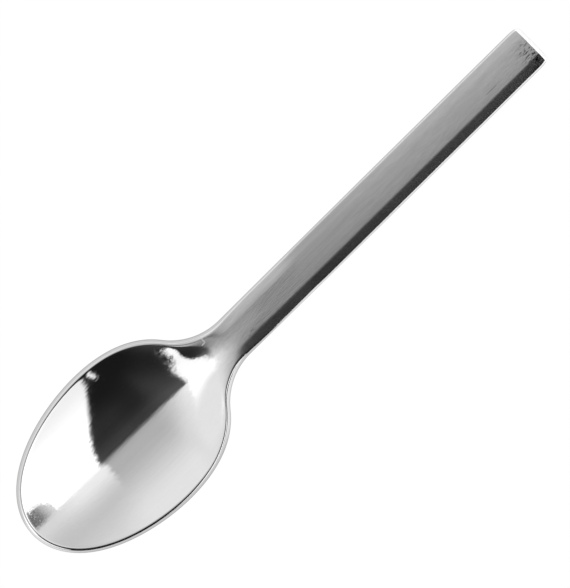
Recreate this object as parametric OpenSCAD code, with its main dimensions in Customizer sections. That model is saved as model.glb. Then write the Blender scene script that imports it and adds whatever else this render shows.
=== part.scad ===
// A teaspoon of forged steel: an egg-shaped bowl, a neck and a flat bar handle that
// arches between the bowl and its end. The handle points along +X and the bowl's tip
// along -X. The spoon lies on the plane z = 0, on the belly of its bowl and on the
// underside of its handle's end.

/* [Spoon] */
// Length over all, from the tip of the bowl to the end of the handle
spoon_length = 140; // [120:1:160]

/* [Bowl] */
// Length of the egg that the bowl's outline follows
bowl_length = 48.6; // [42:0.2:54]
// Width of the bowl over its rim, at its widest
bowl_width = 33.5; // [28:0.1:38]
// Depth of the hollow below the rim, at its deepest
bowl_depth = 7.2; // [5:0.1:9]
// Distance from the tip to the deepest place
deepest_from_tip = 28; // [24:0.5:32]
// Thickness of the bowl's wall at its deepest place
bowl_wall = 1.2; // [0.8:0.1:2]
// Radius of the long dip of the rim, seen from the side
rim_dip_radius = 250; // [180:5:400]

/* [Rim] */
// Width of the bevel around the rim, seen from above
rim_bevel = 0.85; // [0.5:0.05:1]
// Height of the rim from the bevel's inner edge to the rim's underside
rim_height = 1.5; // [1.3:0.05:2]
// Radius of the rounding along the rim's outer edges
rim_round = 0.15; // [0.1:0.05:0.25]
// Angle at which the bevels of the rim, the handle and its end fall, in degrees
bevel_angle = 52; // [40:1:54]

/* [Neck] */
// Radius of the hollow corner between the bowl's outline and the handle's edge
neck_radius = 13.6; // [8:0.2:16]
// Steepest rise of the rim towards the handle, in degrees
neck_slope = 8; // [4:0.5:10]
// Distance from the tip to where the hollow has run out on top of the neck
hollow_end_from_tip = 60; // [57:0.5:62]
// Distance from the tip to where the hollow's sides begin to round over into shoulders
shoulder_from_tip = 34; // [30:0.5:40]
// Distance from the tip to the seam between the bowl and the neck
bowl_seam_from_tip = 50; // [47:0.5:53]
// Distance from the tip to the seam between the neck and the handle
handle_seam_from_tip = 63; // [61:0.5:70]

/* [Handle] */
// Width of the handle where the neck's corners end
handle_neck_width = 9.1; // [7:0.05:11]
// Width of the handle near its end
handle_end_width = 9.5; // [7:0.05:12]
// Thickness of the handle at its edges, measured upright
handle_thickness = 2.2; // [1.6:0.1:3]
// Radius of the handle's arch, seen from the side
arch_radius = 110; // [80:1:150]
// Height of the flat middle of the top above the handle's edges
crown_height = 0.5; // [0.2:0.05:0.8]
// Width of the flat middle of the top
crown_flat_width = 4.8; // [3:0.1:6]
// Width of the bevel along the handle's top edges, seen from above
handle_bevel = 0.5; // [0.3:0.05:0.9]
// Radius of the rounding along the handle's outer edges
handle_round = 0.2; // [0.1:0.05:0.4]
// Length of the bevel across the top of the handle's end, seen from above
end_bevel = 1; // [0.6:0.05:1.3]
// Radius of the rounding under the handle's end
end_round = 0.3; // [0.15:0.05:0.5]
// Length over which the handle's end corners curve in
corner_length = 3; // [1.5:0.1:5]
// Width by which each of the end corners curves in
corner_width = 0.7; // [0.3:0.05:1.5]

/* [Hidden] */

// Lean of the egg towards its blunt end, and its fullness at both ends
egg_lean_share = 0.11;
egg_fullness_share = 0.09;
// Fullness of the hollow's shoulders at the neck, where 0 is none
shoulder_share = 0.5;
// Softness with which the hollow runs out on the neck, as a power
fade_power = 6;
// Largest arch of the handle, as a share of the arc that reaches the handle's very end
arch_room_share = 0.98;

// Places along the length
tip_x = -spoon_length / 2;
end_x = spoon_length / 2;
deepest_x = tip_x + deepest_from_tip;
hollow_end_x = tip_x + hollow_end_from_tip;
shoulder_x = tip_x + shoulder_from_tip;
bowl_seam_x = tip_x + bowl_seam_from_tip;
handle_seam_x = tip_x + handle_seam_from_tip;

// Counts of ribs along the spoon and of points on each rib
fan_ribs = 18;
bowl_ribs = 16;
neck_ribs = 10;
arch_ribs = 10;
corner_ribs = 3;
end_ribs = 3;
round_steps = 3;
flat_steps = 5;
top_steps = 11;

// The egg at an angle that runs from 0 at the tip to 180 at its far end.
function egg_swell(r) = 1 + egg_lean_share * r + egg_fullness_share * r * r;
egg_widest_share = max([for (a = [0:1:180]) sin(a) * egg_swell(-cos(a))]);
egg_half = bowl_width / 2 / egg_widest_share;
function egg_x(a) = tip_x + bowl_length / 2 * (1 - cos(a));
function egg_y(a) = egg_half * sin(a) * egg_swell(-cos(a));
function egg_run(a) = bowl_length / 2 * sin(a);
function egg_rise(a) = egg_half * (cos(a) * egg_swell(-cos(a))
    + sin(a) * sin(a) * (egg_lean_share - 2 * egg_fullness_share * cos(a)));
function egg_angle(x) = acos(1 - 2 * (x - tip_x) / bowl_length);

// The neck's corner is an arc that touches both the egg and the handle's edge. Its
// centre lies one radius outside both, so halving finds the angle where it leaves the egg.
corner_y = handle_neck_width / 2 + neck_radius;
function corner_miss(a) = egg_y(a) + neck_radius * egg_run(a) / norm([egg_run(a), egg_rise(a)]) - corner_y;
function corner_angle(low, high, halvings) =
    let (middle = (low + high) / 2)
    halvings == 0 ? middle
    : corner_miss(middle) > 0 ? corner_angle(middle, high, halvings - 1)
    : corner_angle(low, middle, halvings - 1);
leave_angle = corner_angle(90, 179, 40);
leave_x = egg_x(leave_angle);
corner_x = leave_x - neck_radius * egg_rise(leave_angle) / norm([egg_run(leave_angle), egg_rise(leave_angle)]);

// Half the width of the outline at a place x behind the widest one, and its slope there
function corner_drop(x) = sqrt(neck_radius * neck_radius - (corner_x - x) * (corner_x - x));
function handle_width(x) =
    handle_neck_width + (handle_end_width - handle_neck_width) * (x - corner_x) / (end_x - corner_x);
function end_corner(x) =
    let (past_share = max(0, (x - end_x) / corner_length + 1))
    corner_width * (1 - sqrt(1 - past_share * past_share));
function half_width(x) =
    x < leave_x ? egg_y(egg_angle(x))
    : x < corner_x ? corner_y - corner_drop(x)
    : handle_width(x) / 2 - end_corner(x);
function edge_slope(x) =
    x < leave_x ? egg_rise(egg_angle(x)) / egg_run(egg_angle(x))
    : x < corner_x ? -(corner_x - x) / corner_drop(x)
    : 0;

// Height of the rim and of the handle's top edges. From the tip the line follows a long
// dip, then the arch, then a straight run that touches the arch and meets the handle's end.
// The arch is a fillet between the neck's slope and that run, so the room that a short
// handle leaves limits it: it is a little smaller than the arc that reaches the very end.
dip_x = deepest_x;
dip_z = bowl_depth + bowl_wall;
rise_x = dip_x + rim_dip_radius * sin(neck_slope);
rise_z = dip_z + rim_dip_radius * (1 - cos(neck_slope));
rest_x = end_x - end_round;
bevel_x = end_x - end_bevel;
handle_run = rest_x - rise_x;
handle_fall = rise_z - handle_thickness;
arch_room = (handle_run * handle_run + handle_fall * handle_fall)
    / (handle_run * sin(neck_slope) + handle_fall * cos(neck_slope)) / 2;
bend_radius = min(arch_radius, arch_room_share * arch_room);
arch_x = rise_x + bend_radius * sin(neck_slope);
arch_z = rise_z + bend_radius * (1 - cos(neck_slope));
to_rest = [rest_x - arch_x, handle_thickness - (arch_z - bend_radius)];
touch_angle = atan2(to_rest[1], to_rest[0]) + acos(bend_radius / norm(to_rest));
handle_slope = 90 - touch_angle;
straight_x = arch_x + bend_radius * cos(touch_angle);
straight_z = arch_z - bend_radius * (1 - sin(touch_angle));
function edge_z(x) =
    x < rise_x ? dip_z + rim_dip_radius - sqrt(rim_dip_radius * rim_dip_radius - (x - dip_x) * (x - dip_x))
    : x < straight_x ? arch_z - bend_radius + sqrt(bend_radius * bend_radius - (x - arch_x) * (x - arch_x))
    : straight_z - (x - straight_x) * tan(handle_slope);

// A share that swells from 0 to 1 between two places
function ease(x, from, to) =
    let (share = min(1, max(0, (x - from) / (to - from))))
    share * share * (3 - 2 * share);
// What turns the rim into the handle's edge and lifts the crown along the neck, and what
// thickens the bowl's wall into the handle
function handle_share(x) = ease(x, bowl_seam_x, handle_seam_x);
function spine_share(x) = ease(x, deepest_x, hollow_end_x);
function mix(a, b, share) = a + (b - a) * share;

// Depth of the hollow along the middle, as a share of its greatest depth. Behind the
// deepest place the run is squeezed, so that it bends alike there and fades out on the neck.
hollow_front = deepest_x - tip_x - rim_bevel;
hollow_back_share = (hollow_end_x - deepest_x) / hollow_front;
squeeze_share = (sqrt(fade_power) / hollow_back_share - 1) / (hollow_back_share * hollow_back_share);
function hollow_share(x) =
    let (run = (x - deepest_x) / hollow_front)
    let (squeezed = run / sqrt(fade_power) * (1 + squeeze_share * run * run))
    run <= 0 ? 1 : squeezed >= 1 ? 0 : pow(1 - squeezed * squeezed, fade_power);

// Depth of the hollow across the spoon, as a share of the depth in the middle. The sides
// are plain in the bowl and get rounded shoulders towards the neck.
function dish_share(t, shoulder) = 1 - (1 + shoulder) * t * t + shoulder * t * t * t * t;

// Places across the top, from 0 in the middle to 1 at the bevel, with one of them on the
// edge of the crown's flat middle. From there the crown falls evenly to the bevel.
crown_flat_share = crown_flat_width / (handle_neck_width - 2 * handle_bevel);
function top_share(i) =
    i <= flat_steps ? crown_flat_share * i / flat_steps
    : mix(crown_flat_share, 1, (i - flat_steps) / (top_steps - flat_steps));
function crown_profile(t) = 1 - max(0, (t - crown_flat_share) / (1 - crown_flat_share));

// A rib stands upright over a line from the spoon's middle to its outline. It is given
// as the place of its foot on the middle line, its unit direction outwards, its length
// and how much longer an inset is along it than square to the outline.
function fan_rib(a) =
    let (reach = [egg_x(a) - deepest_x, egg_y(a)])
    let (outward = reach / norm(reach))
    let (normal = [-egg_rise(a), egg_run(a)] / norm([egg_run(a), egg_rise(a)]))
    [deepest_x, outward, norm(reach), 1 / (outward * normal)];
function cross_rib(x) = [x, [0, 1], half_width(x), norm([1, edge_slope(x)])];

// How much the bevel at the handle's end takes off the height of a rib, and how much the
// rounding below it lifts the underside
function end_cut(x) = max(0, x - bevel_x) * tan(bevel_angle);
function end_lift(x) =
    let (past = max(0, x - rest_x))
    end_round - sqrt(end_round * end_round - past * past);

// The points of a rib from the top of its foot over the edge to the foot's underside
function rib_points(rib, side) =
    let (x = rib[0], outward = rib[1], reach = rib[2], stretch = rib[3])
    let (turn = handle_share(x))
    let (edge_round = mix(rim_round, handle_round, turn))
    let (bevel = mix(rim_bevel, handle_bevel, turn))
    let (height = mix(rim_height, handle_thickness, turn))
    let (hollow = bowl_depth * hollow_share(x), crown = crown_height * turn)
    let (shoulder = shoulder_share * ease(x, shoulder_x, leave_x))
    let (belly = hollow + mix(bowl_wall, handle_thickness, spine_share(x)) - height)
    let (inner = reach - bevel * stretch, under = reach - edge_round * stretch)
    let (drop = tan(bevel_angle) * (bevel - edge_round * (1 - sin(bevel_angle))))
    let (profile = concat(
        [for (i = [0:top_steps])
            let (t = top_share(i))
            [inner * t, crown * crown_profile(t) - hollow * dish_share(t, shoulder)]],
        [for (i = [0:round_steps])
            let (a = mix(bevel_angle, 90, i / round_steps))
            [reach - edge_round * (1 - sin(a)) * stretch,
                edge_round * (cos(a) - cos(bevel_angle)) - drop]],
        [for (i = [0:round_steps])
            let (a = 90 * i / round_steps)
            [reach - edge_round * (1 - cos(a)) * stretch, edge_round * (1 - sin(a)) - height]],
        [for (i = [top_steps - 1:-1:0])
            let (t = i / top_steps)
            [under * t, -height - belly * (1 - t * t)]]))
    let (lift = end_lift(x))
    let (height_share = 1 - (end_cut(x) + lift) / height)
    [for (p = profile)
        let (plan = [x + p[0] * outward[0], side * p[0] * outward[1]])
        [plan[0], plan[1], edge_z(plan[0]) - height + lift + (p[1] + height) * height_share]];

half_points = 2 * (top_steps + round_steps) + 3;
ring_points = 2 * half_points - 2;

// The point of the underside that lies below a point of the top, to cut a cap in strips
function below(j) = j <= top_steps ? half_points - 1 - j : half_points - j;

// A ring is a rib and its mirror image, joined at the foot's top and underside.
function ring(rib) =
    let (left = rib_points(rib, 1), right = rib_points(rib, -1))
    concat(left, [for (i = [half_points - 2:-1:1]) right[i]]);

// A closed skin through a row of rings. Where all of a fan's ribs share one foot, or both
// halves of the tip's ring fall together, the shared points are used once.
module skin(rings, fan) {
    last = len(rings) - 1;
    function at(i, j) =
        let (k = j % ring_points)
        k == 0 || k == half_points - 1 ? max(i, fan) * ring_points + k
        : i == 0 && fan > 0 && k >= half_points ? ring_points - k
        : i * ring_points + k;
    sides = [for (i = [0:last - 1]) for (j = [0:ring_points - 1])
        let (a = at(i, j), b = at(i, j + 1), c = at(i + 1, j + 1), d = at(i + 1, j))
        for (face = [[a, b, c], [a, c, d]])
            if (face[0] != face[1] && face[1] != face[2] && face[2] != face[0]) face];
    function cap(i) = [for (j = [0:top_steps + round_steps])
        let (left = [at(i, j), at(i, j + 1), at(i, below(j + 1)), at(i, below(j))])
        let (right = [for (k = [j + 1, j, below(j), below(j + 1)]) at(i, ring_points - k)])
        for (q = [left, right]) each [[q[0], q[1], q[2]], if (q[2] != q[3]) [q[0], q[2], q[3]]]];
    near_cap = fan > 0 ? [] : [for (f = cap(0)) [f[2], f[1], f[0]]];
    polyhedron(points = [for (r = rings) each r], faces = concat(sides, near_cap, cap(last)));
}

function spread(from, to, count) = [for (i = [0:count]) mix(from, to, i / count)];

module bowl() {
    widest_angle = egg_angle(deepest_x);
    fan = [for (i = [0:fan_ribs - 1]) fan_rib(widest_angle * i / fan_ribs)];
    back = [for (x = spread(deepest_x, bowl_seam_x, bowl_ribs)) cross_rib(x)];
    color("gainsboro") skin([for (r = concat(fan, back)) ring(r)], fan_ribs);
}

module neck() {
    ribs = [for (x = spread(bowl_seam_x, handle_seam_x, neck_ribs)) cross_rib(x)];
    color("silver") skin([for (r = ribs) ring(r)], 0);
}

module handle() {
    arch = spread(handle_seam_x, straight_x, arch_ribs);
    corners = spread(end_x - corner_length, bevel_x, corner_ribs);
    end = [for (i = [0:end_ribs]) rest_x + end_round * sin(90 * i / end_ribs)];
    color("darkgray") skin([for (x = concat(arch, corners, end)) ring(cross_rib(x))], 0);
}

bowl();
neck();
handle();
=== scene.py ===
import math

import bmesh
import bpy
from mathutils import Matrix, Vector


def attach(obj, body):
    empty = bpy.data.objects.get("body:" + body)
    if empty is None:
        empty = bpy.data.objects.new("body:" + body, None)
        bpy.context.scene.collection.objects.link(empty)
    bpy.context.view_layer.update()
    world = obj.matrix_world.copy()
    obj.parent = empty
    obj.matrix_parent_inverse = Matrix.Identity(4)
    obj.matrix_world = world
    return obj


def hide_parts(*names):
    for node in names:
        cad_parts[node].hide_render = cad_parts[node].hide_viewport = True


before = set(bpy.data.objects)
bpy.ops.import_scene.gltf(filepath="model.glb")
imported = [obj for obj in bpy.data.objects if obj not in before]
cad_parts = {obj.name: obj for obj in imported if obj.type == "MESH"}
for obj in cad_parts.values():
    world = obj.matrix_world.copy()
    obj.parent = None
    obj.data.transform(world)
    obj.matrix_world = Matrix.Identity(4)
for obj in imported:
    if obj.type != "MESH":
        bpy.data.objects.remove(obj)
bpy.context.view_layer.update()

# A teaspoon of forged steel, seen from above: a polished egg-shaped bowl, a neck and a
# satin handle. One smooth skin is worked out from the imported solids' own sizes, and is
# cut at the two seams into a closed piece for each zone.

# Sizes of the spoon in millimetres, as the solids have them, apart from the shoulder and
# the handle's bevel, which are fitted to the photograph's reflections
MM = 0.001
SPOON_LENGTH = 140.0
BOWL_LENGTH = 48.6
BOWL_WIDTH = 33.5
BOWL_DEPTH = 7.2
DEEPEST_FROM_TIP = 28.0
BOWL_WALL = 1.2
SHOULDER = 0.8
SHOULDER_FROM_TIP = 34.0
RIM_DIP_RADIUS = 250.0
RIM_BEVEL = 0.85
RIM_HEIGHT = 1.5
RIM_ROUND = 0.15
NECK_RADIUS = 13.6
NECK_SLOPE = math.radians(8)
HOLLOW_END_FROM_TIP = 60.0
BOWL_SEAM_FROM_TIP = 50.0
HANDLE_SEAM_FROM_TIP = 63.0
HANDLE_NECK_WIDTH = 9.1
HANDLE_END_WIDTH = 9.5
HANDLE_THICKNESS = 2.2
ARCH_RADIUS = 110.0
CROWN_HEIGHT = 0.5
CROWN_FLAT_WIDTH = 4.8
CROWN_FULLNESS = 0.2
HANDLE_BEVEL = 0.4
HANDLE_ROUND = 0.2
END_BEVEL = 1.0
END_ROUND = 0.3
CORNER_LENGTH = 3.0
CORNER_WIDTH = 0.7
BEVEL_ANGLE = math.radians(52)
EGG_LEAN = 0.11
EGG_FULLNESS = 0.09

# Soft turns that only the skin has, in millimetres: at the crown's two edges, at the
# hollow's edge, where the outline's curves meet, and beside the end's crease
CREASE_SOFTNESS = 0.4
LIP_SOFTNESS = 0.4
WIDTH_SOFTNESS = 1.2
SUPPORT = 0.08

# Share of the way from the hollow to the outer edge that the soft lip takes
LIP_SHARE = 0.3

# Counts of ribs along the spoon and of points on half a rib
FAN_RIBS = 90
BOWL_RIBS = 56
NECK_RIBS = 36
ARCH_RIBS = 60
STRAIGHT_RIBS = 30
END_RIBS = 8
TOP_STEPS = 44
LIP_STEPS = 6
BEVEL_STEPS = 4
ROUND_STEPS = 7
SIDE_STEPS = 2
UNDER_STEPS = 26

# Finest steps of the working: halvings of the search for the neck's touch, the step over
# which a slope is taken, and the distance at which points are merged, in millimetres
HALVINGS = 40
SLOPE_STEP = 0.001
MERGE_DISTANCE = 0.0005

tip_x = -SPOON_LENGTH / 2
end_x = SPOON_LENGTH / 2
deepest_x = tip_x + DEEPEST_FROM_TIP
hollow_end_x = tip_x + HOLLOW_END_FROM_TIP
bowl_seam_x = tip_x + BOWL_SEAM_FROM_TIP
handle_seam_x = tip_x + HANDLE_SEAM_FROM_TIP
rest_x = end_x - END_ROUND
bevel_x = end_x - END_BEVEL


def mix(a, b, share):
    return a + (b - a) * share


def ease(x, start, stop):
    share = min(1.0, max(0.0, (x - start) / (stop - start)))
    return share * share * (3 - 2 * share)


# The egg that the bowl's outline follows, at an angle from 0 at the tip to pi
def egg_swell(lean):
    return 1 + EGG_LEAN * lean + EGG_FULLNESS * lean * lean


egg_half = BOWL_WIDTH / 2 / max(
    math.sin(math.radians(a)) * egg_swell(-math.cos(math.radians(a))) for a in range(181))


def egg_x(a):
    return tip_x + BOWL_LENGTH / 2 * (1 - math.cos(a))


def egg_y(a):
    return egg_half * math.sin(a) * egg_swell(-math.cos(a))


def egg_run(a):
    return BOWL_LENGTH / 2 * math.sin(a)


def egg_rise(a):
    cosine = math.cos(a)
    bend = EGG_LEAN - 2 * EGG_FULLNESS * cosine
    return egg_half * (cosine * egg_swell(-cosine) + math.sin(a) ** 2 * bend)


def egg_angle(x):
    return math.acos(1 - 2 * (x - tip_x) / BOWL_LENGTH)


# The neck's corner touches the egg and the handle's edge, as on the solids
corner_y = HANDLE_NECK_WIDTH / 2 + NECK_RADIUS
low, high = math.radians(90), math.radians(179)
for _ in range(HALVINGS):
    leave_angle = (low + high) / 2
    length = math.hypot(egg_run(leave_angle), egg_rise(leave_angle))
    if egg_y(leave_angle) + NECK_RADIUS * egg_run(leave_angle) / length > corner_y:
        low = leave_angle
    else:
        high = leave_angle
leave_x = egg_x(leave_angle)
corner_x = leave_x - NECK_RADIUS * egg_rise(leave_angle) / length


def half_width(x):
    if x < leave_x:
        return egg_y(egg_angle(x))
    if x < corner_x:
        return corner_y - math.sqrt(NECK_RADIUS ** 2 - (corner_x - x) ** 2)
    past = max(0.0, (x - end_x) / CORNER_LENGTH + 1)
    cut = CORNER_WIDTH * (1 - math.sqrt(1 - past * past))
    return mix(HANDLE_NECK_WIDTH, HANDLE_END_WIDTH, (x - corner_x) / (end_x - corner_x)) / 2 - cut


def edge_slope(x):
    if x < leave_x:
        return egg_rise(egg_angle(x)) / egg_run(egg_angle(x))
    if x < corner_x:
        return -(corner_x - x) / math.sqrt(NECK_RADIUS ** 2 - (corner_x - x) ** 2)
    return 0.0


# Height of the rim and of the handle's edges: a long dip, the arch and a straight run
dip_z = BOWL_DEPTH + BOWL_WALL
rise_x = deepest_x + RIM_DIP_RADIUS * math.sin(NECK_SLOPE)
rise_z = dip_z + RIM_DIP_RADIUS * (1 - math.cos(NECK_SLOPE))
arch_x = rise_x + ARCH_RADIUS * math.sin(NECK_SLOPE)
arch_z = rise_z + ARCH_RADIUS * (1 - math.cos(NECK_SLOPE))
to_rest = (rest_x - arch_x, HANDLE_THICKNESS - (arch_z - ARCH_RADIUS))
touch_angle = math.atan2(to_rest[1], to_rest[0]) + math.acos(ARCH_RADIUS / math.hypot(*to_rest))
handle_slope = math.pi / 2 - touch_angle
straight_x = arch_x + ARCH_RADIUS * math.cos(touch_angle)
straight_z = arch_z - ARCH_RADIUS * (1 - math.sin(touch_angle))


def edge_z(x):
    if x < rise_x:
        return dip_z + RIM_DIP_RADIUS - math.sqrt(RIM_DIP_RADIUS ** 2 - (x - deepest_x) ** 2)
    if x < straight_x:
        return arch_z - ARCH_RADIUS + math.sqrt(ARCH_RADIUS ** 2 - (x - arch_x) ** 2)
    return straight_z - (x - straight_x) * math.tan(handle_slope)


# Depth of the hollow along the middle, as a share of its greatest depth
FADE_POWER = 6
hollow_front = deepest_x - tip_x - RIM_BEVEL
hollow_back = (hollow_end_x - deepest_x) / hollow_front
squeeze = (math.sqrt(FADE_POWER) / hollow_back - 1) / hollow_back ** 2


def hollow_share(x):
    run = (x - deepest_x) / hollow_front
    squeezed = run / math.sqrt(FADE_POWER) * (1 + squeeze * run * run)
    if run <= 0:
        return 1.0
    return 0.0 if squeezed >= 1 else (1 - squeezed ** 2) ** FADE_POWER


# The crown is flat in the middle and falls evenly to the bevel, with a soft crease
crown_flat = CROWN_FLAT_WIDTH / (HANDLE_NECK_WIDTH - 2 * HANDLE_BEVEL)
crease = CREASE_SOFTNESS / (HANDLE_NECK_WIDTH / 2)


def crown_fall(t):
    past = t - crown_flat
    if past < -crease:
        return 0.0
    fall = (past + crease) ** 2 / (4 * crease) if past < crease else past
    fall /= 1 - crown_flat
    return mix(fall, fall * fall, CROWN_FULLNESS)


# A rib stands over a line from the middle to the outline: the place of its foot, its
# direction outwards, its length, how much an inset stretches along it, and how far it is
# drawn in all round, which only the last rib at the handle's end is
def fan_rib(a):
    reach = Vector((egg_x(a) - deepest_x, egg_y(a)))
    normal = Vector((-egg_rise(a), egg_run(a))).normalized()
    outward = reach.normalized()
    return deepest_x, outward, reach.length, 1 / outward.dot(normal), 0.0


def cross_rib(x):
    near = [edge_slope(x + WIDTH_SOFTNESS * k) for k in (-2, -1, 0, 1, 2)]
    stretch = sum(math.hypot(1, slope) for slope in near) / len(near)
    return x, Vector((0, 1)), half_width(x), stretch, 0.0


def end_rib(x, inset=0.0):
    return x, Vector((0, 1)), half_width(x), 1.0, inset


def rib_profile(rib):
    """Half a rib's outline, from the top's middle over the edge to the underside's, with
    each point's share of the way down the bevel, and the height of the edge."""
    x, _, reach, stretch, _ = rib
    turn = ease(x, bowl_seam_x, handle_seam_x)
    edge_round = mix(RIM_ROUND, HANDLE_ROUND, turn)
    bevel = mix(RIM_BEVEL, HANDLE_BEVEL, turn)
    height = mix(RIM_HEIGHT, HANDLE_THICKNESS, turn)
    hollow, crown = BOWL_DEPTH * hollow_share(x), CROWN_HEIGHT * turn
    shoulder = SHOULDER * ease(x, tip_x + SHOULDER_FROM_TIP, leave_x)
    spine = mix(BOWL_WALL, HANDLE_THICKNESS, ease(x, deepest_x, hollow_end_x))
    inner = reach - bevel * stretch
    under = reach - edge_round * stretch

    def top(t):
        dish = 1 - (1 + shoulder) * t * t + shoulder * t ** 4
        return crown * (1 - crown_fall(t)) - hollow * dish

    bevel_slope = math.tan(BEVEL_ANGLE) / stretch
    lip = min(LIP_SOFTNESS, bevel / 2)
    lip_t = 1 - lip / inner
    lip_slope = (top(lip_t) - top(lip_t - SLOPE_STEP)) / (SLOPE_STEP * inner)
    points = [(inner * lip_t * i / TOP_STEPS, top(lip_t * i / TOP_STEPS), 0)
              for i in range(TOP_STEPS + 1)]
    start = points[-1][1]
    for i in range(1, LIP_STEPS + 1):
        s = 2 * lip * i / LIP_STEPS
        bend = (lip_slope + bevel_slope) * s * s / (4 * lip)
        points.append((inner - lip + s, start + lip_slope * s - bend, LIP_SHARE * i / LIP_STEPS))
    foot = points[-1]
    bevel_end = reach - edge_round * (1 - math.sin(BEVEL_ANGLE)) * stretch
    drop = bevel_slope * (bevel_end - inner - lip)
    for i in range(1, BEVEL_STEPS):
        share = i / BEVEL_STEPS
        points.append((mix(foot[0], bevel_end, share), foot[1] - drop * share,
                       mix(LIP_SHARE, 1, share)))
    centre = foot[1] - drop - edge_round * math.cos(BEVEL_ANGLE)
    for i in range(ROUND_STEPS + 1):
        a = mix(BEVEL_ANGLE, math.pi / 2, i / ROUND_STEPS)
        points.append((reach - edge_round * (1 - math.sin(a)) * stretch,
                       centre + edge_round * math.cos(a), 1))
    for i in range(1, SIDE_STEPS):
        points.append((reach, mix(centre, edge_round - height, i / SIDE_STEPS), 1))
    for i in range(ROUND_STEPS + 1):
        a = math.pi / 2 * i / ROUND_STEPS
        lift = edge_round * (1 - math.sin(a)) - height
        points.append((reach - edge_round * (1 - math.cos(a)) * stretch, lift, 1 - i / ROUND_STEPS))
    belly = hollow + spine - height
    for i in range(UNDER_STEPS - 1, -1, -1):
        t = i / UNDER_STEPS
        points.append((under * t, -height - belly * (1 - t * t), 0))
    return points, height


def rib_points(rib):
    x, outward, reach, _, inset = rib
    profile, height = rib_profile(rib)
    cut = max(0.0, x - bevel_x) * math.tan(BEVEL_ANGLE)
    raised = END_ROUND - math.sqrt(END_ROUND ** 2 - max(0.0, x - rest_x) ** 2)
    left = height - cut - raised
    points = []
    for out, rise, share in profile:
        out *= 1 - inset / reach
        px, py = x + out * outward.x, out * outward.y
        up = (rise + height) * left / height
        up = mix(up, left / 2, inset / left) if inset else up
        points.append((px, py, edge_z(px) - height + raised + up, share))
    return points


def spread(start, stop, count):
    return [mix(start, stop, i / count) for i in range(count)]


widest = egg_angle(deepest_x)
ribs = [fan_rib(a) for a in spread(0, widest, FAN_RIBS)]
ribs += [cross_rib(x) for x in spread(deepest_x, bowl_seam_x, BOWL_RIBS)]
ribs += [cross_rib(x) for x in spread(bowl_seam_x, handle_seam_x, NECK_RIBS)]
ribs += [cross_rib(x) for x in spread(handle_seam_x, straight_x, ARCH_RIBS)]
ribs += [cross_rib(x) for x in spread(straight_x, end_x - CORNER_LENGTH, STRAIGHT_RIBS)]
ribs += [end_rib(x) for x in spread(end_x - CORNER_LENGTH, bevel_x - SUPPORT, END_RIBS)]
ribs += [end_rib(bevel_x + d) for d in (-SUPPORT, 0.0, SUPPORT, END_BEVEL / 3)]
ribs += [end_rib(x) for x in spread(rest_x, end_x, END_RIBS)]
ribs += [end_rib(end_x, inset) for inset in (0.0, SUPPORT)]


def spoon_skin():
    """The whole skin: a sheet whose rows are wrapped around the ribs, merged and closed."""
    rows = [rib_points(rib) for rib in ribs]
    half = len(rows[0])
    around = 2 * half - 2
    mesh = bmesh.new()
    bmesh.ops.create_grid(mesh, x_segments=around, y_segments=len(rows) - 1, size=0.5)
    edge = mesh.verts.layers.float.new("edge")
    for v in mesh.verts:
        j = round((v.co.x + 0.5) * around) % around
        row = rows[round((v.co.y + 0.5) * (len(rows) - 1))]
        x, y, z, v[edge] = row[j] if j < half else row[around - j]
        v.co = Vector((x, y if j < half else -y, z)) * MM
    bmesh.ops.remove_doubles(mesh, verts=mesh.verts, dist=MERGE_DISTANCE * MM)
    bmesh.ops.holes_fill(mesh, edges=mesh.edges, sides=0)
    bmesh.ops.recalc_face_normals(mesh, faces=mesh.faces)
    mesh.normal_update()
    shade = mesh.verts.layers.float_vector.new("shade")
    for v in mesh.verts:
        v[shade] = v.normal
    return mesh


def zone(skin, name, start, stop, material):
    """The part of the skin between two upright cuts, capped, as a finished piece."""
    mesh = skin.copy()
    for x, side in ((start, {"clear_inner": True}), (stop, {"clear_outer": True})):
        if x is not None:
            every = mesh.verts[:] + mesh.edges[:] + mesh.faces[:]
            bmesh.ops.bisect_plane(mesh, geom=every, dist=1e-7, plane_co=(x * MM, 0, 0),
                                   plane_no=(1, 0, 0), **side)
    caps = set(bmesh.ops.holes_fill(mesh, edges=mesh.edges, sides=0)["faces"])
    bmesh.ops.recalc_face_normals(mesh, faces=mesh.faces)
    shade = mesh.verts.layers.float_vector["shade"]
    for face in mesh.faces:
        face.smooth = True
    normals = [face.normal.copy() if face in caps else v[shade].copy()
               for face in mesh.faces for v in face.verts]
    data = bpy.data.meshes.new(name)
    mesh.to_mesh(data)
    mesh.free()
    data.normals_split_custom_set(normals)
    data.attributes.remove(data.attributes["shade"])
    data.materials.append(material)
    piece = bpy.data.objects.new(name, data)
    bpy.context.scene.collection.objects.link(piece)
    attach(piece, "root")
    return piece


# Shader maths: a wrapped socket on which sums and products add their Math nodes
class Wire:
    def __init__(self, tree, socket):
        self.tree, self.socket = tree, socket

    def math(self, operation, *values):
        return node(self.tree, "ShaderNodeMath", {"operation": operation},
                    dict(enumerate(values))).out()

    def __add__(self, other):
        return self.math("ADD", self, other)

    def __sub__(self, other):
        return self.math("SUBTRACT", self, other)

    def __rsub__(self, other):
        return self.math("SUBTRACT", other, self)

    def __neg__(self):
        return self.math("SUBTRACT", 0, self)

    def __mul__(self, other):
        return self.math("MULTIPLY", self, other)

    def __truediv__(self, other):
        return self.math("DIVIDE", self, other)

    __radd__, __rmul__ = __add__, __mul__

    def root(self):
        return self.math("SQRT", self)

    def at_least(self, least):
        return self.math("MAXIMUM", self, least)

    def between(self, start, stop):
        """A smooth share from 0 at start to 1 at stop."""
        return node(self.tree, "ShaderNodeMapRange", {"interpolation_type": "SMOOTHSTEP"},
                    {"Value": self, "From Min": start, "From Max": stop}).out("Result")


class Node:
    def __init__(self, tree, made):
        self.tree, self.made = tree, made

    def out(self, name=0):
        return Wire(self.tree, self.made.outputs[name])


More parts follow.
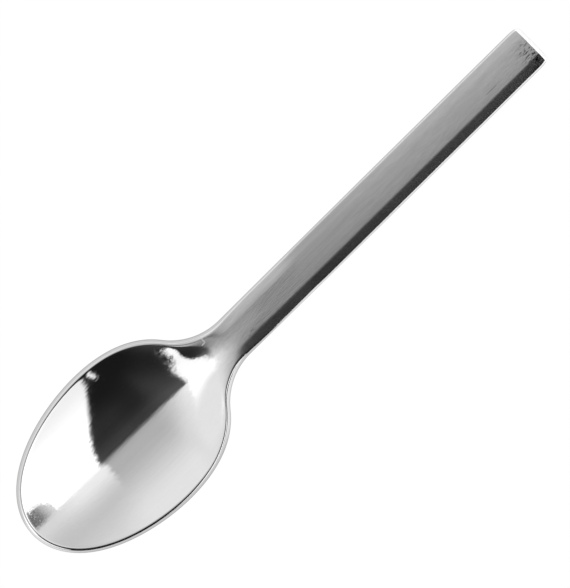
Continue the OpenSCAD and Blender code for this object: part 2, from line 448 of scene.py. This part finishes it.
def node(tree, kind, settings=None, sockets=None):
    made = tree.nodes.new(kind)
    for name, value in (settings or {}).items():
        setattr(made, name, value)
    for name, value in (sockets or {}).items():
        if isinstance(value, Wire):
            tree.links.new(value.socket, made.inputs[name])
        else:
            made.inputs[name].default_value = value
    return Node(tree, made)


def blank_material(name):
    material = bpy.data.materials.new(name)
    material.use_nodes = True
    material.node_tree.nodes.clear()
    return material, material.node_tree


def object_place(tree):
    """Where a point lies on its own object: the whole vector, its X and its Y."""
    place = node(tree, "ShaderNodeTexCoord").out("Object")
    axes = node(tree, "ShaderNodeSeparateXYZ", None, {0: place})
    return place, axes.out("X"), axes.out("Y")


def grey(tree, value):
    return node(tree, "ShaderNodeCombineColor", None,
                {"Red": value, "Green": value, "Blue": value}).out()


def white_glow(tree, strength):
    return node(tree, "ShaderNodeEmission", None, {"Color": (1, 1, 1, 1), "Strength": strength})


# The bare steel
STEEL_GREY = 0.74
STEEL_ROUGHNESS = 0.06
BRUSH_DEPTH = 0.012 * MM

# Where the finish changes along the spoon, in millimetres: the polish turns to satin, the wear at
# the handle's end comes in, and the end's own face starts, which is painted lighter as a painted
# highlight
SATIN_RUN = (-23.5, -17.5)
WEAR_RUN = (64.0, 68.8)
END_FACE_RUN = (68.8, 69.1)

# Marks of wear, in millimetres: the middle along and across the spoon, then half the
# length and half the breadth
NECK_HAIRLINES = (-9.0, -2.2, 6.0, 1.6)
END_HAIRLINES = (60.0, -1.6, 5.0, 2.4)
END_SCRATCH = (57.0, -0.85, 1.7, 0.09)
NICK_STROKE = (-18.9, 3.9, 0.13, 0.62)
NICK_FOOT = (-19.4, 3.35, 0.45, 0.12)
EDGE_SPECK = (27.3, -4.5, 0.16, 0.16)


def steel(name):
    """Steel that is polished in the bowl and brushed lengthwise from the neck on. Both
    finishes are one recipe, because one turns into the other beside the seam."""
    material, tree = blank_material(name)
    place, x, y = object_place(tree)
    edge = node(tree, "ShaderNodeAttribute", {"attribute_name": "edge"}).out("Fac")

    def along(run):
        return x.between(run[0] * MM, run[1] * MM)

    def grain(lengthwise, across, detail):
        stretched = node(tree, "ShaderNodeVectorMath", {"operation": "MULTIPLY"},
                         {0: place, 1: (lengthwise, across, across)}).out()
        return node(tree, "ShaderNodeTexNoise", None,
                    {"Vector": stretched, "Scale": 1.0, "Detail": detail, "Roughness": 0.6}).out(0)

    def patch(middle_x, middle_y, half_x, half_y):
        run, rise = (x - middle_x * MM) / (half_x * MM), (y - middle_y * MM) / (half_y * MM)
        return 1 - (run * run + rise * rise).between(0.4, 1.3)

    satin = along(SATIN_RUN) * (1 - edge.between(0.05, 0.20))
    # The end's face, which the colour lightens as a painted highlight and which is kept clear of
    # the edge's painted shade and of the wear
    end_face = along(END_FACE_RUN)
    # The outer band of the edge, apart from the end's face, which gets a painted shade: a darker
    # dark outline of the spoon against the floor
    outer = edge.between(0.70, 0.90) * (1 - end_face)

    brush = grain(60, 5200, 3)
    streaks = grain(25, 1400, 3)
    polish_lines = grain(110, 1700, 4)
    waves = grain(90, 3000, 2)

    hairlines = grain(420, 5600, 1).between(0.62, 0.70)
    worn = hairlines * (patch(*NECK_HAIRLINES) + 0.5 * patch(*END_HAIRLINES)) * 0.22
    strokes = grain(130, 5200, 2).between(0.52, 0.60) * along(WEAR_RUN) * (1 - end_face)
    worn = worn + strokes * (-y).between(-3.5 * MM, 1.5 * MM) * 0.9 + 0.3 * patch(*END_SCRATCH)
    nick = patch(*NICK_STROKE) + patch(*NICK_FOOT) + patch(*EDGE_SPECK)

    colour = STEEL_GREY - 0.09 * satin + (0.04 + 0.12 * satin) * (streaks - 0.5)
    # Painted shade darkens the outer band of the edge, and a painted highlight lightens the end's
    # face
    colour = colour - 0.20 * outer + 0.18 * end_face
    colour = colour + 0.06 * satin * (brush - 0.5) - worn * satin
    roughness = STEEL_ROUGHNESS + 0.17 * satin + 0.06 * (polish_lines - 0.5) + 0.45 * nick

    # Slow lengthwise waves tilt the whole surface, and the fine lines are a bump on it
    tilt = node(tree, "ShaderNodeCombineXYZ", None,
                {"X": (waves - 0.5) * (0.045 + 0.06 * satin) - 0.3 * nick}).out()
    tilted = node(tree, "ShaderNodeVectorMath", {"operation": "ADD"},
                  {0: node(tree, "ShaderNodeNewGeometry").out("Normal"), 1: tilt}).out()
    lines = brush * satin + polish_lines * (1 - satin) * 0.9
    bump = node(tree, "ShaderNodeBump", None, {"Strength": 1.0, "Distance": BRUSH_DEPTH,
                                               "Height": lines, "Normal": tilted}).out()
    shader = node(tree, "ShaderNodeBsdfPrincipled", None,
                  {"Base Color": grey(tree, colour), "Metallic": 1.0, "Roughness": roughness,
                   "Normal": bump})
    node(tree, "ShaderNodeOutputMaterial", None, {"Surface": shader.out()})
    return material


skin = spoon_skin()
polished_finish = steel("polished_steel_finish")
satin_finish = steel("satin_steel_finish")
bowl = zone(skin, "polished_bowl", None, bowl_seam_x, polished_finish)
neck = zone(skin, "flared_neck", bowl_seam_x, handle_seam_x, satin_finish)
handle = zone(skin, "satin_handle", handle_seam_x, None, satin_finish)
skin.free()
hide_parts("bowl")
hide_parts("neck")
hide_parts("handle")


def sheet(name, width, depth, centre, material):
    """A flat sheet of the studio, as the floor and the cards are."""
    mesh = bmesh.new()
    bmesh.ops.create_grid(mesh, x_segments=1, y_segments=1, size=0.5,
                          matrix=Matrix.Translation(centre) @ Matrix.Diagonal((width, depth, 1, 1)))
    data = bpy.data.meshes.new(name)
    mesh.to_mesh(data)
    mesh.free()
    data.materials.append(material)
    made = bpy.data.objects.new(name, data)
    bpy.context.scene.collection.objects.link(made)
    return made


# The floor is white to the camera and in the steel, and keeps some of the spoon's shadow.
# From below it is clear, so that the spoon's underside can be looked at. In the steel it is
# a little darker on both sides, dark far off beside the tip, and bright past the handle.
FLOOR_SIZE = 6.0
FLOOR_GREY = 0.9
FLOOR_GLOW = 0.96
FLOOR_LIGHT = 1.02


def floor_material():
    material, tree = blank_material("pale_floor")
    path = node(tree, "ShaderNodeLightPath")
    camera_ray = path.out("Is Camera Ray")
    seen = camera_ray + path.out("Is Glossy Ray") + path.out("Is Transmission Ray")
    paper = node(tree, "ShaderNodeBsdfDiffuse", None,
                 {"Color": (FLOOR_GREY, FLOOR_GREY, FLOOR_GREY, 1)})
    _, x, y = object_place(tree)
    one_side = 0.22 * y.between(0.004, 0.016)
    other_side = 0.26 * (-y).between(0.020, 0.035) * (-x).between(0.0, 0.02)
    far_off = 0.95 * (-y).between(0.050, 0.080) * (-x).between(0.09, 0.12)
    past_handle = 0.80 * x.between(0.070, 0.078)
    shade = (one_side + other_side + far_off - past_handle) * (1 - camera_ray)
    glow = white_glow(tree, FLOOR_LIGHT - shade)
    both = node(tree, "ShaderNodeMixShader", None,
                {0: seen * FLOOR_GLOW, 1: paper.out(), 2: glow.out()})
    below = node(tree, "ShaderNodeNewGeometry").out("Backfacing")
    clear = node(tree, "ShaderNodeBsdfTransparent")
    surface = node(tree, "ShaderNodeMixShader", None, {0: below, 1: both.out(), 2: clear.out()})
    node(tree, "ShaderNodeOutputMaterial", None, {"Surface": surface.out()})
    material.cycles.emission_sampling = "NONE"
    return material


# A card close over the handle, which only the steel reflects: grey on one side of the
# spoon's middle and black on the other
CARD_LENGTH = 0.30
CARD_BREADTH = 0.60
CARD_HEIGHT = 0.040
CARD_START = 0.002
CARD_GREY = 0.44


def card_material():
    material, tree = blank_material("two_tone_card")
    _, x, y = object_place(tree)
    light = CARD_GREY + 0.12 * x.between(0.010, 0.090) + 0.08 * y.between(0.004, 0.030)
    light = light + 0.16 * y.between(0.030, 0.060)
    glow = white_glow(tree, light * y.between(-0.009, 0.000))
    node(tree, "ShaderNodeOutputMaterial", None, {"Surface": glow.out()})
    material.cycles.emission_sampling = "NONE"
    return material


# A card low over the neck, for the side of it that would otherwise show the dark wall. It
# is light over the bowl and falls off towards the handle and the dark side.
NECK_CARD_LENGTH = 0.046
NECK_CARD_BREADTH = 0.026
NECK_CARD_MIDDLE = (-0.030, -0.010)
NECK_CARD_HEIGHT = 0.026
NECK_CARD_START = -0.044
NECK_CARD_LIGHT = 1.02
NECK_CARD_LEAST = 0.04


def neck_card_material():
    material, tree = blank_material("grey_card")
    _, x, y = object_place(tree)
    run = (x - NECK_CARD_START) / MM
    away = -y / MM
    present = (run - 4.0 * away.between(7.0, 12.0)).between(2.8, 4.2)
    present = present * (1 - run.between(28.0, 35.0))
    present = present * away.between(-1.0, 1.5) * (1 - away.between(16.0, 20.0))
    light = NECK_CARD_LIGHT - run * (0.019 + 0.0038 * away) - 0.30 * away.between(5.0, 20.0)
    light = light + 0.35 * (1 - run.between(2.0, 7.0))
    glow = white_glow(tree, light.at_least(NECK_CARD_LEAST))
    clear = node(tree, "ShaderNodeBsdfTransparent")
    both = node(tree, "ShaderNodeMixShader", None, {0: present, 1: clear.out(), 2: glow.out()})
    node(tree, "ShaderNodeOutputMaterial", None, {"Surface": both.out()})
    material.cycles.emission_sampling = "NONE"
    return material


floor = sheet("floor", FLOOR_SIZE, FLOOR_SIZE, (0, 0, 0), floor_material())
handle_card = sheet("handle_card", CARD_LENGTH, CARD_BREADTH,
                    (CARD_START + CARD_LENGTH / 2, 0, CARD_HEIGHT), card_material())
neck_card = sheet("neck_card", NECK_CARD_LENGTH, NECK_CARD_BREADTH,
                  (*NECK_CARD_MIDDLE, NECK_CARD_HEIGHT), neck_card_material())
for card in (handle_card, neck_card):
    card.visible_camera = False
    card.visible_diffuse = False
    card.visible_shadow = False
    card.visible_transmission = False


def oval(along, across, x, y, half_length, half_breadth):
    """A soft-edged oval lamp or gap in the room, by its middle and its half sizes."""
    run, rise = (along - x) / half_length, (across - y) / half_breadth
    return 1 - (run * run + rise * rise).between(0.8, 1.2)


# The room's light and dark side part a little off the spoon's middle
ROOM_SHIFT = 0.010


def studio():
    """The room's light, by the slope that a mirror needs to show it to the camera."""
    world = bpy.data.worlds.new("studio")
    bpy.context.scene.world = world
    world.use_nodes = True
    tree = world.node_tree
    tree.nodes.clear()
    direction = node(tree, "ShaderNodeTexCoord").out("Generated")
    axes = node(tree, "ShaderNodeSeparateXYZ", None, {0: direction})
    up = (axes.out("Z") + 1.0).at_least(0.05)
    along, across = axes.out("X") / up, axes.out("Y") / up + ROOM_SHIFT
    neckwards, low = -along, -across
    light_side = across.between(-0.035, 0.025)

    # The light side is a grey wall that grows lighter upwards and where the neck shows it,
    # with a bright stripe for the bowl's end towards the tip
    rise = across.between(0.12, 0.75) * (1 - 0.6 * neckwards.between(0.15, 0.45))
    glow = neckwards.between(0.12, 0.56) * (1 - 0.50 * across.between(0.1, 0.6))
    stripe = along.between(0.145, 0.175) * (1 - across.between(0.0, 0.40))
    stripe = stripe * (1 - 0.4 * along.between(0.3, 0.5))
    grey_wall = 0.53 + 0.45 * rise + 0.60 * glow + 0.60 * stripe + 0.05 * across.between(0.0, 0.1)
    grey_wall = grey_wall - 0.12 * along.between(0.1, 0.3) * across.between(0.3, 0.6)

    # The dark side is gloom beside a softbox with a bowed edge and a gap, which is the grey
    # arch at the tip, and holds one chip of light
    bow = (low * low + 0.0625).root() - 0.25
    past_edge = along - 0.180 + 0.43 * bow
    gap = oval(along, across, 0.505, -0.02, 0.065, 0.17) * (0.55 + 0.42 * along.between(0.45, 0.52))
    softbox = past_edge.between(-0.012, 0.012) * (1 - 0.95 * gap)
    softbox = softbox * (1 - 0.28 * low.between(0.35, 0.85))
    chip = oval(along, across, -0.13, -0.80, 0.015, 0.05)
    gloom = 0.012 + 0.06 * neckwards.between(0.05, 0.40) * (1 - low.between(0.1, 0.7))
    gloom = gloom + 0.02 * (1 - low.between(0.3, 0.6)) * (1 - neckwards.between(0.0, 0.2))
    gloom = gloom + 0.03 * (1 - low.between(0.05, 0.25))
    dark_wall = gloom + 1.6 * softbox + 1.2 * chip

    # A lamp shows as the highlight at the neck: sharp on the dark side, soft on the light one
    dark = low.at_least(0.0)
    inside = neckwards - 0.495 - 1.15 * dark * dark * dark
    sharp_lamp = 1.3 * inside.between(-0.012, 0.012) * (1 - low.between(0.62, 0.68))
    soft_lamp = 0.7 * inside.between(-0.03, 0.05) * (1 - across.between(0.1, 0.5))
    strength = grey_wall * light_side + dark_wall * (1 - light_side)
    strength = strength + sharp_lamp * (1 - light_side) + soft_lamp * light_side

    # The camera itself sees plain white
    seen = node(tree, "ShaderNodeLightPath").out("Is Camera Ray")
    strength = strength * (1 - seen) + seen
    sky = node(tree, "ShaderNodeBackground", None, {"Color": (1, 1, 1, 1), "Strength": strength})
    node(tree, "ShaderNodeOutputWorld", None, {"Surface": sky.out()})


studio()

# The camera looks straight down on the spoon, turned so that the handle points up and right
PHOTO_TURN = math.radians(44.586)
CAMERA_DISTANCE = 0.65
CAMERA_REACH = 20.0
AIM = Vector((-0.9 * MM, -0.95 * MM, 8 * MM))
VIEW_HEIGHT = 0.1166
camera_data = bpy.data.cameras.new("camera")
camera = bpy.data.objects.new("camera", camera_data)
bpy.context.scene.collection.objects.link(camera)
back = Vector((0, 0, 1))
upward = Vector((math.sin(PHOTO_TURN), math.cos(PHOTO_TURN), 0))
turn = Matrix((upward.cross(back), upward, back)).transposed()
camera.matrix_world = Matrix.Translation(AIM + back * CAMERA_DISTANCE) @ turn.to_4x4()
camera_data.sensor_fit = "VERTICAL"
camera_data.angle = 2 * math.atan(VIEW_HEIGHT / 2 / CAMERA_DISTANCE)
camera_data.clip_end = CAMERA_REACH
bpy.context.scene.camera = camera

bpy.context.scene.view_settings.view_transform = "Standard"

bpy.context.view_layer.update()
